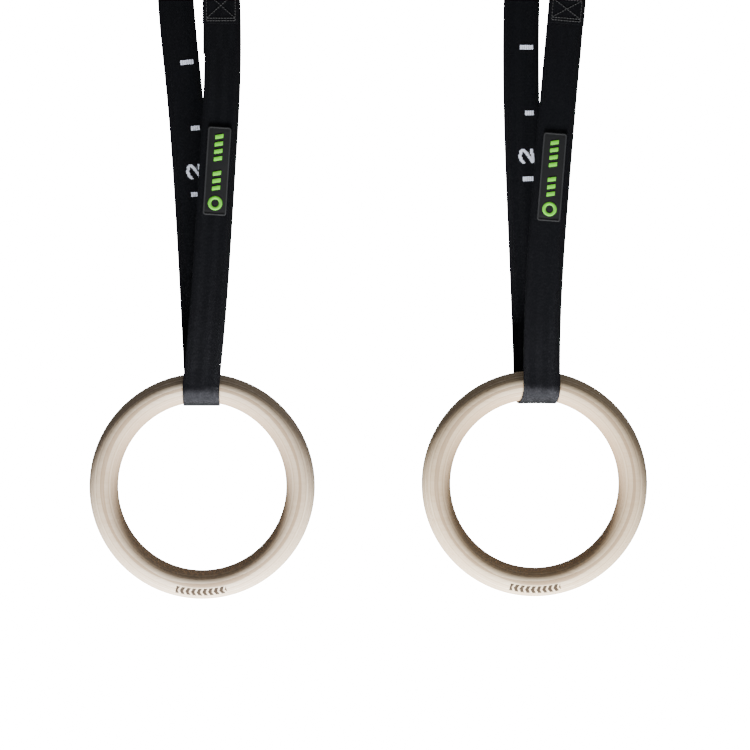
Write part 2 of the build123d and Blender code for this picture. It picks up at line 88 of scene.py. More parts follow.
# ---- Shader graphs ------------------------------------------------------------------------
class Graph:
    """Short ways to write a material's node graph."""

    def __init__(self, name: str) -> None:
        """Start a material with one Principled shader.

        Args:
            name: the material's name.
        """
        self.material = bpy.data.materials.new(name)
        self.material.use_nodes = True
        self.tree = self.material.node_tree
        self.shader = self.tree.nodes["Principled BSDF"]

    def node(self, kind: str, **settings: object) -> bpy.types.Node:
        """Add a node and set its properties.

        Args:
            kind: the node's type name, without the ShaderNode prefix.
            **settings: properties of the node.

        Returns:
            The new node.
        """
        made = self.tree.nodes.new("ShaderNode" + kind)
        for key, value in settings.items():
            setattr(made, key, value)
        return made

    def feed(self, socket: bpy.types.NodeSocket, value: object) -> None:
        """Link a socket to an output, or set its number or colour.

        Args:
            socket: the input.
            value: an output socket, a number, or a tuple.
        """
        if isinstance(value, bpy.types.NodeSocket):
            self.tree.links.new(value, socket)
        else:
            socket.default_value = value

    def dress(self, inputs: dict[str, object]) -> None:
        """Feed several of the shader's inputs, by name."""
        for name, value in inputs.items():
            self.feed(self.shader.inputs[name], value)

    def math(self, operation: str, *values: object) -> bpy.types.NodeSocket:
        """One Math node.

        Args:
            operation: the Math node's operation.
            *values: its inputs, sockets or numbers.

        Returns:
            The node's output.
        """
        made = self.node("Math", operation=operation)
        for socket, value in zip(made.inputs, values):
            self.feed(socket, value)
        return made.outputs[0]

    def noise(self, vector: object, scale: float, detail: float = 3.0) -> bpy.types.NodeSocket:
        """Noise on a vector, as its grey output.

        Args:
            vector: the coordinates' socket.
            scale: cells in a metre.
            detail: octaves.

        Returns:
            The grey output.
        """
        made = self.node("TexNoise")
        self.feed(made.inputs["Vector"], vector)
        made.inputs["Scale"].default_value = scale
        made.inputs["Detail"].default_value = detail
        return made.outputs["Fac"]

    def ramp(self, value: object, *stops: tuple[float, tuple]) -> bpy.types.NodeSocket:
        """Colour ramp.

        Args:
            value: the grey input.
            *stops: places and colours, from 0 to 1.

        Returns:
            The colour output.
        """
        made = self.node("ValToRGB")
        elements = made.color_ramp.elements
        for extra in stops[2:]:
            elements.new(extra[0])
        for element, (place, colour) in zip(elements, sorted(stops)):
            element.position = place
            element.color = (*colour, 1.0)
        self.feed(made.inputs["Fac"], value)
        return made.outputs["Color"]

    def mix(self, share: object, a: object, b: object, kind: str = "MIX") -> bpy.types.NodeSocket:
        """Mix two colours.

        Args:
            share: how much of b.
            a: the first colour, a socket or a tuple of four.
            b: the second colour.
            kind: the blend type.

        Returns:
            The mixed colour.
        """
        made = self.node("Mix", data_type="RGBA", blend_type=kind)
        self.feed(made.inputs["Factor"], share)
        self.feed(made.inputs["A"], a)
        self.feed(made.inputs["B"], b)
        return made.outputs["Result"]

    def spread(self, value: object, low: float, high: float) -> bpy.types.NodeSocket:
        """Map 0 to 1 onto low to high.

        Args:
            value: the input.
            low: what 0 becomes.
            high: what 1 becomes.

        Returns:
            The mapped value.
        """
        return self.math("MULTIPLY_ADD", value, high - low, low)

    def radius(self, x: object, z: object) -> bpy.types.NodeSocket:
        """Distance from the Y axis of a point at x and z."""
        squares = [self.math("POWER", value, 2.0) for value in (x, z)]
        return self.math("SQRT", self.math("ADD", *squares))

    def split(self, vector: object) -> tuple:
        """The three parts of a vector."""
        made = self.node("SeparateXYZ")
        self.feed(made.inputs[0], vector)
        return tuple(made.outputs)

    def join(self, x: object, y: object, z: object) -> bpy.types.NodeSocket:
        """A vector from its three parts."""
        made = self.node("CombineXYZ")
        for socket, value in zip(made.inputs, (x, y, z)):
            self.feed(socket, value)
        return made.outputs[0]

    def bump(self, height: object, depth: float, strength: float = 1.0) -> None:
        """Raise the surface by a height.

        Args:
            height: from 0 to 1.
            depth: metres that 1 stands out.
            strength: share of the effect.
        """
        made = self.node("Bump")
        made.inputs["Strength"].default_value = strength
        made.inputs["Distance"].default_value = depth
        self.feed(made.inputs["Height"], height)
        self.feed(self.shader.inputs["Normal"], made.outputs["Normal"])

    def object_place(self, centre: Vector | None = None) -> bpy.types.NodeSocket:
        """Object coordinates in metres, counted from a centre.

        Args:
            centre: the point that becomes zero.

        Returns:
            The coordinates.
        """
        place = self.node("TexCoord").outputs["Object"]
        if centre is None:
            return place
        shift = self.node("Mapping")
        self.feed(shift.inputs["Vector"], place)
        shift.inputs["Location"].default_value = -centre
        return shift.outputs["Vector"]

    def surface_place(self) -> bpy.types.NodeSocket:
        """The piece's own UV map, in metres across and along the cloth."""
        return self.node("UVMap", uv_map=CLOTH_MAP).outputs["UV"]


# ---- Finishes -----------------------------------------------------------------------------
@dataclass(frozen=True)
class WebbingFinish:
    """Tightly woven black polyester webbing, in chevron twill."""

    name: str = "black_webbing"
    dark: tuple = (0.0005, 0.0005, 0.0008)
    light: tuple = (0.0026, 0.0027, 0.0036)
    worn: tuple = (0.0035, 0.0036, 0.0046)
    worn_share: float = 0.3
    chevron: float = 6.4 * MM
    slope: float = 0.9
    rib: float = 1.55 * MM
    rib_heights: tuple = (0.4, 0.7)
    yarn: float = 0.8 * MM
    yarn_height: float = 0.16
    fuzz_cells: float = 2600.0
    patch_cells: float = 22.0
    relief: float = 0.3 * MM
    roughness: tuple = (0.36, 0.50)

    def make(self) -> bpy.types.Material:
        """Build the material.

        Returns:
            The material.
        """
        g = Graph(self.name)
        across, along, _ = g.split(g.surface_place())
        fold = g.math("PINGPONG", across, self.chevron)
        slant = g.math("ADD", along, g.math("MULTIPLY", fold, self.slope))
        rib = g.math("SINE", g.math("MULTIPLY", slant, math.tau / self.rib))
        yarn = g.math("SINE", g.math("MULTIPLY", across, math.tau / self.yarn))
        threads = g.math("MULTIPLY", yarn, self.yarn_height)
        height = g.math("ADD", g.spread(rib, *self.rib_heights), threads)
        place = g.object_place()
        fuzz = g.noise(place, self.fuzz_cells, 2.0)
        patch = g.noise(place, self.patch_cells, 3.0)
        shade = g.math("ADD", height, g.math("MULTIPLY_ADD", fuzz, 0.5, -0.25))
        # the colour follows the weave's relief: painted shade in the grooves and lighter crests,
        # with random fuzz on top
        cloth = g.ramp(shade, (0.15, self.dark), (0.95, self.light))
        g.dress({
            "Base Color": g.mix(g.math("MULTIPLY", patch, self.worn_share), cloth, (*self.worn, 1)),
            "Roughness": g.spread(fuzz, *self.roughness),
            "Specular IOR Level": 0.13,
            "Specular Tint": (0.86, 0.88, 1.0, 1),
            "Sheen Weight": 0.015,
            "Sheen Roughness": 0.35,
            "Sheen Tint": (0.55, 0.62, 0.78, 1),
        })
        g.bump(g.math("ADD", height, g.math("MULTIPLY", fuzz, 0.35)), self.relief)
        return g.material


@dataclass(frozen=True)
class BirchFinish:
    """Sanded birch plywood, its plies stacked from front to back."""

    name: str
    centre: Vector
    outer_r: float
    tube_r: float
    warmth: float
    plies: int = 21
    wander: float = 0.7 * MM
    grain_cells: float = 420.0
    grain_stretch: float = 0.06
    ply_tones_apart: float = 7.31
    glue_half: float = 0.42
    glue: tuple = (0.24, 0.155, 0.09)
    pore_cells: float = 3400.0
    pore: tuple = (0.40, 0.30, 0.20)
    hole_shade_start: float = 2 * MM
    relief: float = 0.12 * MM
    char: tuple = (0.012, 0.006, 0.003)
    row_width: float = 53 * MM
    row_height: float = 7.5 * MM
    row_drop: float = 6.9 * MM
    row_count: int = 9
    row_bend: float = 0.55
    row_gap_half: float = 0.32

    def make(self) -> bpy.types.Material:
        """Build the material.

        Returns:
            The material.
        """
        g = Graph(self.name)
        place = g.object_place(self.centre)
        x, y, z = g.split(place)
        wander = g.math("MULTIPLY_ADD", g.noise(place, 9.0, 2.0), self.wander, -self.wander / 2)
        thick = 2 * self.tube_r / self.plies
        layer = g.math("DIVIDE", g.math("ADD", g.math("ADD", y, wander), self.tube_r), thick)
        number = g.math("FLOOR", layer)
        odd = g.math("MODULO", g.math("ABSOLUTE", number), 2.0)
        angle = g.math("ARCTAN2", z, x)
        ends = [g.math("ABSOLUTE", g.math(turn, angle)) for turn in ("COSINE", "SINE")]
        end_grain = self._pick(g, odd, *ends)
        long_x = g.join(g.math("MULTIPLY", x, self.grain_stretch), number, z)
        long_z = g.join(x, number, g.math("MULTIPLY", z, self.grain_stretch))
        grain = self._pick(g, odd, *(g.noise(v, self.grain_cells, 5.0) for v in (long_x, long_z)))
        apart = g.math("MULTIPLY", number, self.ply_tones_apart)
        tone = g.noise(g.join(0.0, apart, 0.0), 1.0, 0.0)
        edge = g.math("ABSOLUTE", g.math("SUBTRACT", g.math("FRACT", layer), 0.5))
        glue = g.math("GREATER_THAN", edge, self.glue_half)
        pores = g.noise(place, self.pore_cells, 2.0)
        scorch = self._scorch(g, x, y, z, pores)
        pale, mid, dark = self._tones()
        wood = g.ramp(grain, (0.3, mid), (0.62, pale))
        for share, colour in (
            (g.spread(end_grain, 0.0, 0.6), dark),
            (g.spread(tone, -0.1, 0.9), mid),
            (g.math("MULTIPLY", odd, 0.3), mid),
            # painted shade inside the ring's hole, in the end-grain colour
            (self._painted_hole_shade(g, x, z), dark),
            (g.math("MULTIPLY", glue, 0.7), self.glue),
            (g.spread(pores, 0.0, 0.16), self.pore),
            (g.math("MULTIPLY", scorch, 0.95), self.char),
        ):
            wood = g.mix(share, wood, (*colour, 1))
        g.dress({
            "Base Color": wood,
            "Roughness": g.math("MAXIMUM", g.spread(grain, 0.52, 0.68), scorch),
            "Specular IOR Level": 0.2,
        })
        relief = g.math("ADD", g.math("MULTIPLY", grain, 0.5), g.math("MULTIPLY", glue, -0.5))
        relief = g.math("ADD", relief, g.math("MULTIPLY", scorch, -1.2))
        g.bump(relief, self.relief, 0.7)
        return g.material

    def _painted_hole_shade(self, g: Graph, x: object, z: object) -> object:
        """Painted shade: how much darker the wood is, from the tube's middle in towards the hole.

        Args:
            g: the material's graph.
            x: across from the ring's centre.
            z: up from the ring's centre.

        Returns:
            The share of the dark tone, painted as shade inside the hole.
        """
        middle = self.outer_r - self.tube_r - self.hole_shade_start
        inward = g.math("SUBTRACT", middle, g.radius(x, z))
        share = g.math("DIVIDE", inward, self.tube_r)
        return g.math("MULTIPLY", g.math("MAXIMUM", share, 0.0), 1.1)

    def _tones(self) -> tuple[tuple, tuple, tuple]:
        """The wood's pale, middle and end-grain colours; the end-grain colour also paints the shade
        inside the hole.
        """
        w = self.warmth
        return (
            (0.70, 0.61 - 0.01 * w, 0.49 - 0.04 * w),
            (0.49, 0.39 - 0.01 * w, 0.28 - 0.03 * w),
            (0.32, 0.225 - 0.01 * w, 0.145 - 0.02 * w),
        )

    def _pick(self, g: Graph, odd: object, even_value: object, odd_value: object) -> object:
        """A value for even plies and another for odd ones.

        Args:
            g: the material's graph.
            odd: 1 in odd plies, 0 in even ones.
            even_value: the value in even plies.
            odd_value: the value in odd plies.

        Returns:
            The picked value.
        """
        rest = g.math("SUBTRACT", 1.0, odd)
        first = g.math("MULTIPLY", even_value, rest)
        return g.math("MULTIPLY_ADD", odd_value, odd, first)

    def _scorch(self, g: Graph, x: object, y: object, z: object, pores: object) -> object:
        """Row of burnt chevrons on the front of the ring's lowest point.

        Args:
            g: the material's graph.
            x: across from the ring's centre.
            y: back from the ring's centre.
            z: up from the ring's centre.
            pores: fine noise that breaks up the edges.

        Returns:
            1 where the wood is burnt.
        """
        centre_r = self.outer_r - self.tube_r + self.row_drop
        height = g.math("SUBTRACT", centre_r, g.radius(x, z))
        turn = g.math("ARCTAN2", x, g.math("MULTIPLY", z, -1.0))
        run = g.math("MULTIPLY", turn, centre_r)
        bent = g.math("MULTIPLY_ADD", g.math("ABSOLUTE", height), -self.row_bend, run)
        cell = g.math("DIVIDE", bent, self.row_width / self.row_count)
        stroke = g.math("ABSOLUTE", g.math("SUBTRACT", g.math("FRACT", cell), 0.5))
        ragged = g.math("MULTIPLY_ADD", pores, 0.10, -0.05)
        burnt = g.math("LESS_THAN", g.math("ADD", stroke, ragged), self.row_gap_half)
        for place, limit in (
            (g.math("ABSOLUTE", height), self.row_height / 2),
            (g.math("ABSOLUTE", run), self.row_width / 2),
            (y, 0.0),
            (z, 0.0),
        ):
            burnt = g.math("MULTIPLY", burnt, g.math("LESS_THAN", place, limit))
        return burnt


@dataclass(frozen=True)
class YarnFinish:
    """Spun yarn or sewing thread."""

    name: str
    colour: tuple
    shadow: tuple
    roughness: float = 0.7
    twist: float = 0.35 * MM
    fuzz_cells: float = 3000.0
    relief: float = 0.08 * MM

    def make(self) -> bpy.types.Material:
        """Build the material.

        Returns:
            The material.
        """
        g = Graph(self.name)
        place = g.object_place()
        x, y, z = g.split(place)
        slant = g.math("ADD", g.math("ADD", x, z), g.math("MULTIPLY", y, 0.5))
        twist = g.math("SINE", g.math("MULTIPLY", slant, math.tau / self.twist))
        fuzz = g.noise(place, self.fuzz_cells, 2.0)
        shade = g.math("MULTIPLY_ADD", twist, 0.2, fuzz)
        g.dress({
            "Base Color": g.ramp(shade, (0.2, self.shadow), (0.8, self.colour)),
            "Roughness": g.spread(fuzz, self.roughness, 0.95),
            "Sheen Weight": 0.1,
        })
        g.bump(shade, self.relief, 0.6)
        return g.material


@dataclass(frozen=True)
class RubberFinish:
    """Moulded soft rubber with a fine matt grain."""

    name: str
    colour: tuple
    bloom: tuple
    roughness: float = 0.55
    grain_cells: float = 2400.0
    smear_cells: float = 60.0
    relief: float = 0.06 * MM

    def make(self) -> bpy.types.Material:
        """Build the material.

        Returns:
            The material.
        """
        g = Graph(self.name)
        place = g.object_place()
        grain = g.noise(place, self.grain_cells, 3.0)
        smear = g.noise(place, self.smear_cells, 4.0)
        bloom = g.spread(smear, 0.0, 0.55)
        g.dress({
            "Base Color": g.mix(bloom, (*self.colour, 1), (*self.bloom, 1)),
            "Roughness": g.spread(smear, self.roughness, self.roughness + 0.2),
            "Specular IOR Level": 0.2,
        })
        g.bump(grain, self.relief, 0.6)
        return g.material


@dataclass(frozen=True)
class MetalFinish:
    """Cast or drawn metal under satin plating, brushed one way and rubbed bright in use."""

    name: str
    colour: tuple
    tarnish: tuple
    roughness: float
    brush_cells: float = 3800.0
    brush_stretch: float = 0.05
    cloud_cells: float = 140.0
    speck_cells: float = 1500.0
    relief: float = 0.03 * MM

    def make(self) -> bpy.types.Material:
        """Build the material.

        Returns:
            The material.
        """
        g = Graph(self.name)
        place = g.object_place()
        x, y, z = g.split(place)
        brush = g.join(g.math("MULTIPLY", x, self.brush_stretch), y, z)
        brushed = g.noise(brush, self.brush_cells, 3.0)
        cloud = g.noise(place, self.cloud_cells, 4.0)
        speck = g.noise(place, self.speck_cells, 2.0)
        tarnish = (*self.tarnish, 1)
        colour = g.mix(g.spread(cloud, 0.0, 0.6), (*self.colour, 1), tarnish)
        worn = g.math("MULTIPLY_ADD", cloud, 0.22, self.roughness - 0.08)
        g.dress({
            "Base Color": g.mix(g.spread(speck, 0.0, 0.2), colour, tarnish),
            "Metallic": 1.0,
            "Roughness": g.math("MULTIPLY_ADD", brushed, 0.1, worn),
        })
        g.bump(brushed, self.relief, 0.5)
        return g.material


@dataclass(frozen=True)
class BackdropFinish:
    """White paper that looks evenly lit behind the rings and throws little light on them."""

    name: str = "white_paper"
    paper: tuple = (0.80, 0.80, 0.80)
    floor_glow: float = 0.12
    wall_glow: float = 20.0
    cast_share: float = 0.018
    middle: Vector = Vector((0.0, 7.0, -0.6))
    near: float = 6.0
    far: float = 10.0

    def make(self) -> bpy.types.Material:
        """Build the material.

        Returns:
            The material.
        """
        g = Graph(self.name)
        length = g.node("VectorMath", operation="LENGTH")
        g.feed(length.inputs[0], g.object_place(self.middle))
        reach = g.math("SUBTRACT", self.far, length.outputs["Value"])
        share = g.math("DIVIDE", reach, self.far - self.near)
        share = g.math("MINIMUM", g.math("MAXIMUM", share, 0.0), 1.0)
        glow = g.spread(share, self.floor_glow, self.wall_glow)
        seen = g.node("LightPath").outputs["Is Camera Ray"]
        g.dress({
            "Base Color": (*self.paper, 1),
            "Roughness": 1.0,
            "Emission Color": (1, 1, 1, 1),
            "Emission Strength": g.math("MULTIPLY", glow, g.spread(seen, self.cast_share, 1.0)),
        })
        return g.material


# ---- Modelling helpers --------------------------------------------------------------------
def clear_selection() -> None:
    """Leave nothing selected, so that an operator acts on the new piece only."""
    if bpy.context.object and bpy.context.object.mode != "OBJECT":
        bpy.ops.object.mode_set(mode="OBJECT")
    bpy.ops.object.select_all(action="DESELECT")


def take(obj: bpy.types.Object) -> bpy.types.Object:
    """Make an object the only one selected, and active.

    Args:
        obj: the object.

    Returns:
        The same object.
    """
    clear_selection()
    obj.select_set(True)
    bpy.context.view_layer.objects.active = obj
    return obj


def apply_modifiers(obj: bpy.types.Object) -> None:
    """Apply every modifier on a piece, in order."""
    take(obj)
    for modifier in list(obj.modifiers):
        bpy.ops.object.modifier_apply(modifier=modifier.name)


def settle(obj: bpy.types.Object, name: str, finish: bpy.types.Material) -> bpy.types.Object:
    """Finish a piece: its place goes into its mesh, and it gets a name and a material.

    Args:
        obj: the piece.
        name: its name.
        finish: its material.

    Returns:
        The piece.
    """
    take(obj)
    bpy.ops.object.transform_apply(location=True, rotation=True, scale=True)
    obj.name = obj.data.name = name
    obj.data.materials.clear()
    obj.data.materials.append(finish)
    return obj


def join_all(parts: list[bpy.types.Object]) -> bpy.types.Object:
    """Join pieces into one mesh.

    Args:
        parts: the pieces.

    Returns:
        The joined piece.
    """
    clear_selection()
    for part in parts:
        part.select_set(True)
    bpy.context.view_layer.objects.active = parts[0]
    if len(parts) > 1:
        bpy.ops.object.join()
    return parts[0]


def copy_at(pattern: bpy.types.Object, place: Matrix) -> bpy.types.Object:
    """A copy of a piece with its own mesh, put somewhere else.

    Args:
        pattern: the piece to copy.
        place: where the copy goes.

    Returns:
        The copy.
    """
    copy = bpy.data.objects.new(pattern.name, pattern.data.copy())
    bpy.context.collection.objects.link(copy)
    copy.data.transform(place)
    return copy


def discard(obj: bpy.types.Object) -> None:
    """Remove a pattern that has been copied."""
    bpy.data.objects.remove(obj, do_unlink=True)


def centre_of(node: str) -> Vector:
    """Middle of a CAD node's box."""
    low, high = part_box(node)
    return (low + high) / 2


def size_of(node: str) -> Vector:
    """Size of a CAD node's box."""
    low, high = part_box(node)
    return high - low


def joint(name: str) -> dict:
    """A joint of the frame, by name."""
    return next(j for j in frame["joints"] if j["name"] == name)


# ---- Paths --------------------------------------------------------------------------------
def turns(count: int, start: float = 0.0, end: float = math.pi) -> list[float]:
    """Equally spaced angles from start to end, both included."""
    return [start + (end - start) * i / count for i in range(count + 1)]


def eased(corners: list[Vector], radius: float) -> list[Vector]:
    """Round a path's corners with short curves.

    Args:
        corners: the path's corners.
        radius: how far from a corner its curve starts.

    Returns:
        The rounded path.
    """
    steps = 6
    path = [corners[0]]
    for before, corner, after in zip(corners, corners[1:], corners[2:]):
        inward, outward = before - corner, after - corner
        start = corner + inward.normalized() * min(radius, inward.length / 2)
        end = corner + outward.normalized() * min(radius, outward.length / 2)
        for i in range(steps + 1):
            t = i / steps
            path.append(start * (1 - t) ** 2 + corner * 2 * t * (1 - t) + end * t * t)
    path.append(corners[-1])
    return path


def even(path: list[Vector], step: float) -> list[Vector]:
    """Points at equal steps along a path.

    Args:
        path: the path.
        step: about how far apart.

    Returns:
        The new points, the ends included.
    """
    runs = [(b - a).length for a, b in zip(path, path[1:])]
    total = sum(runs)
    count = max(2, round(total / step))
    points, index, passed = [path[0].copy()], 0, 0.0
    for i in range(1, count):
        goal = total * i / count
        while passed + runs[index] < goal:
            passed += runs[index]
            index += 1
        share = (goal - passed) / runs[index]
        points.append(path[index].lerp(path[index + 1], share))
    points.append(path[-1].copy())
    return points


def length_of(path: list[Vector]) -> float:
    """Length of a path."""
    return sum((b - a).length for a, b in zip(path, path[1:]))


@dataclass
class Section:
    """Cross-section of the webbing: flat faces and rounded selvedges."""

    width: float
    thick: float
    face_steps: int = 14
    edge_steps: int = 5

    def outline(self) -> list[tuple[float, float]]:
        """Points round the section.

        Returns:
            Pairs across and out of the webbing, going once round.
        """
        r = self.thick / 2
        flat = self.width / 2 - r
        points = []
        for side in (1, -1):
            for i in range(self.face_steps):
                points.append((side * (-flat + 2 * flat * i / self.face_steps), side * r))
            for i in range(self.edge_steps):
                a = math.pi * i / self.edge_steps
                points.append((side * (flat + r * math.sin(a)), side * r * math.cos(a)))
        return points


class Ribbon:
    """A length of webbing along a path, its width square to the path."""

    SOFT_ANGLE = 50
    WELD = 1e-6

    def __init__(self, section: Section, start: float = 0.0) -> None:
        """Take the section.

        Args:
            section: the webbing's cross-section.
            start: how far along the strap the ribbon starts, for the weave.
        """
        self.section = section
        self.start = start

    def build(self, name: str, path: list[Vector], finish: bpy.types.Material) -> bpy.types.Object:
        """Model the ribbon, closed at both ends.

        Args:
            name: the piece's name.
            path: its centre line.
            finish: its material.

        Returns:
            The piece.
        """
        outline = self.section.outline()
        columns, rows = len(outline), len(path) - 1
        clear_selection()
        bpy.ops.mesh.primitive_grid_add(x_subdivisions=columns, y_subdivisions=rows, size=1)
        obj = bpy.context.object
        mesh = obj.data
        passed = self.start
        cloth = []
        for row, point in enumerate(path):
            ahead = path[min(row + 1, rows)] - path[max(row - 1, 0)]
            tangent = ahead.normalized()
            across = (Vector((1, 0, 0)) - tangent * tangent.x).normalized()
            out = tangent.cross(across)
            if row:
                passed += (point - path[row - 1]).length
            for column in range(columns + 1):
                a, b = outline[column % columns]
                spot = point + across * a + out * b
                mesh.vertices[row * (columns + 1) + column].co = spot
                cloth.append((a, passed))
        layer = mesh.uv_layers[0]
        layer.name = CLOTH_MAP
        for loop in mesh.loops:
            layer.data[loop.index].uv = cloth[loop.vertex_index]
        self._close(obj)
        settle(obj, name, finish)
        bpy.ops.object.shade_smooth_by_angle(angle=math.radians(self.SOFT_ANGLE))
        return obj

    def _close(self, obj: bpy.types.Object) -> None:
        """Join the ribbon's two long edges, fill its ends and point its faces outwards."""
        take(obj)
        bpy.ops.object.mode_set(mode="EDIT")
        bpy.ops.mesh.select_all(action="SELECT")
        bpy.ops.mesh.remove_doubles(threshold=self.WELD)
        bpy.ops.mesh.fill_holes(sides=0)
        bpy.ops.mesh.normals_make_consistent(inside=False)
        bpy.ops.object.mode_set(mode="OBJECT")


class CentreLine:
    """Centre line of the CAD strands, as x at any height."""

    STEP = 3 * MM
    LEAN_SPAN = 15 * MM

    def __init__(self, nodes: Iterable[str]) -> None:
        """Cut the strands across at equal steps and keep the middle of every cut.

        Args:
            nodes: the nodes that make up one strand.
        """
        edges = [edge for node in nodes for edge in self._edges(node)]
        low = min(min(a.z, b.z) for a, b in edges)
        high = max(max(a.z, b.z) for a, b in edges)
        self.points: list[tuple[float, float]] = []
        for i in range(1, int((high - low) / self.STEP)):
            z = low + i * self.STEP
            cuts = [a.lerp(b, (z - a.z) / (b.z - a.z)).x for a, b in edges if self._spans(a, b, z)]
            if cuts:
                self.points.append((z, (min(cuts) + max(cuts)) / 2))

    def _edges(self, node: str) -> list[tuple[Vector, Vector]]:
        """Both ends of every edge of a node."""
        mesh = frame["nodes"][node].data
        spots = [v.co for v in mesh.vertices]
        return [(spots[e.vertices[0]], spots[e.vertices[1]]) for e in mesh.edges]

    def _spans(self, a: Vector, b: Vector, z: float) -> bool:
        """Whether an edge passes a height."""
        return (a.z - z) * (b.z - z) < 0

    def x(self, z: float) -> float:
        """The centre line at a height.

        Args:
            z: the height.

        Returns:
            Its x.
        """
        points = self.points
        if z <= points[0][0]:
            return points[0][1]
        for (z0, x0), (z1, x1) in zip(points, points[1:]):
            if z <= z1:
                return x0 + (x1 - x0) * (z - z0) / (z1 - z0)
        return points[-1][1]

    def lean(self, z: float) -> float:
        """How far the strand leans towards +X at a height, in radians."""
        span = self.LEAN_SPAN
        return math.atan2(self.x(z + span) - self.x(z - span), 2 * span)


# ---- The object ---------------------------------------------------------------------------
@dataclass
class Finishes:
    """Every material that the two sides share."""

    webbing: bpy.types.Material
    scale_yarn: bpy.types.Material
    thread: bpy.types.Material
    rubber: bpy.types.Material
    border: bpy.types.Material
    mark: bpy.types.Material
    cast: bpy.types.Material
    steel: bpy.types.Material

    @classmethod
    def make(cls) -> Finishes:
        """Build the shared materials.

        Returns:
            The materials.
        """
        black, grey = (0.0015, 0.0015, 0.002), (0.0065, 0.007, 0.009)
        black_rubber, black_bloom = (0.0035, 0.0037, 0.0042), (0.008, 0.0083, 0.009)
        grey_rubber, grey_bloom = (0.013, 0.0135, 0.0145), (0.03, 0.031, 0.034)
        satin, satin_tarnish = (0.30, 0.30, 0.31), (0.17, 0.17, 0.18)
        plated, plated_tarnish = (0.48, 0.47, 0.46), (0.30, 0.29, 0.28)
        return cls(
            webbing=WebbingFinish().make(),
            scale_yarn=YarnFinish("scale_yarn", (0.72, 0.76, 0.88), (0.38, 0.41, 0.50)).make(),
            thread=YarnFinish("black_thread", grey, black, 0.5).make(),
            rubber=RubberFinish("label_rubber", black_rubber, black_bloom).make(),
            border=RubberFinish("border_rubber", grey_rubber, grey_bloom).make(),
            mark=RubberFinish("green_rubber", (0.09, 0.42, 0.02), (0.13, 0.50, 0.035), 0.4).make(),
            cast=MetalFinish("satin_cast_metal", satin, satin_tarnish, 0.42).make(),
            steel=MetalFinish("plated_steel", plated, plated_tarnish, 0.30).make(),
        )


class Side:
    """Sizes of one ring and its strap, read from the frame."""

    SLING_SLACK = 0.9 * MM
    SEWN_BAR_R = 3.05 * MM
    BAR_JOIN = -36 * MM
    TWIST_TOP = -254 * MM
    TWIST_FOOT = -560 * MM
    WRAP_RISE = 26 * MM
    CLOSING_FOOT = 3 * MM
    CLOSING_HEAD = 75 * MM
    HANG_STEP = 4 * MM

    def __init__(self, hand: Hand) -> None:
        """Read the side's sizes.

        Args:
            hand: which ring.
        """
        self.name = hand.value
        self.ring = centre_of(self.own("ring"))
        self.tube_r = size_of(self.own("ring")).y / 2
        self.outer_r = size_of(self.own("ring")).z / 2
        self.tube_z = self.ring.z + self.outer_r - self.tube_r
        self.wrap_join = self.tube_z + self.WRAP_RISE
        sling_low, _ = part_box(self.own("sling"))
        _, bar_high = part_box(self.own("bar_loop"))
        self.width = size_of(self.own("bar_loop")).x
        self.thick = size_of(self.own("rear_strand_top")).y
        self.section = Section(self.width, self.thick)
        self.sling_r = self.tube_z - sling_low.z - self.thick / 2
        self.bar_r = bar_high.z - self.thick / 2
        self.bar_x = centre_of(self.own("bar_loop")).x
        self.front_y = centre_of(self.own("front_strand_lower")).y
        self.rear_y = centre_of(self.own("rear_strand_lower")).y
        axis = joint(self.own("cam_release"))["axis"]
        self.buckle_lean = math.atan2(axis[2], -axis[0])
        self.corner_rise = self.width / 2 * math.tan(abs(self.buckle_lean))
        sewn_bar = centre_of(self.own("sewn_bar"))
        self.sewn_bar_y = sewn_bar.y
        self.buckle = Matrix.Translation((sewn_bar.x, 0, sewn_bar.z)) @ Matrix.Rotation(
            self.buckle_lean, 4, "Y"
        )
        front = ("front_strand_lower", "sewn_strand", "numbered_strand", "front_strand_top")
        rear = ("rear_strand_lower", "rear_strand_upper", "rear_strand_top")
        self.lines = {
            Strand.FRONT: CentreLine(self.own(n) for n in front),
            Strand.REAR: CentreLine(self.own(n) for n in rear),
        }
        self.ys = {Strand.FRONT: self.front_y, Strand.REAR: self.rear_y}

    def own(self, part: str) -> str:
        """Full name of one of this side's nodes, bodies, joints or pieces."""
        return f"{self.name}_{part}"

    def on(self, strand: Strand, z: float, out: float = 0.0) -> Vector:
        """Point on a strand's centre line.

        Args:
            strand: which strand.
            z: the height.
            out: metres in front of the webbing's middle.

        Returns:
            The point.
        """
        foot, head = self.tube_z + self.CLOSING_FOOT, self.tube_z + self.CLOSING_HEAD
        t = min(max((z - foot) / (head - foot), 0.0), 1.0)
        away = self.ys[strand]
        close = math.copysign(self.sling_r + self.SLING_SLACK, away)
        y = close + (away - close) * t * t * (3 - 2 * t)
        return Vector((self.lines[strand].x(z), y - out, z))

    def hang(self, strand: Strand, top: float, foot: float) -> list[Vector]:
        """A strand's centre line between two heights, from the first to the second.

        Args:
            strand: which strand.
            top: the height of its start.
            foot: the height of its end.

        Returns:
            Its points.
        """
        steps = max(2, round(abs(top - foot) / self.HANG_STEP))
        return [self.on(strand, top + (foot - top) * i / steps) for i in range(steps + 1)]

    def local(self, y: float, z: float, x: float = 0.0) -> Vector:
        """Point in the buckle's own frame, as the row's coordinates."""
        return self.buckle @ Vector((x, y, z))

    def along(self, z: float) -> float:
        """A height in the row's coordinates, as one in the buckle's own frame."""
        return (z - self.buckle.translation.z) / math.cos(self.buckle_lean)

    def twist(self, obj: bpy.types.Object) -> None:
        """Bake a piece's place into its mesh; the strap's twist, from the part under the buckle to
        the ring, is not modelled.
        """
        start, end = (0, 0, self.TWIST_TOP), (0, 0, self.TWIST_FOOT)
        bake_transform(obj)
        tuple(start)
        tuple(end)


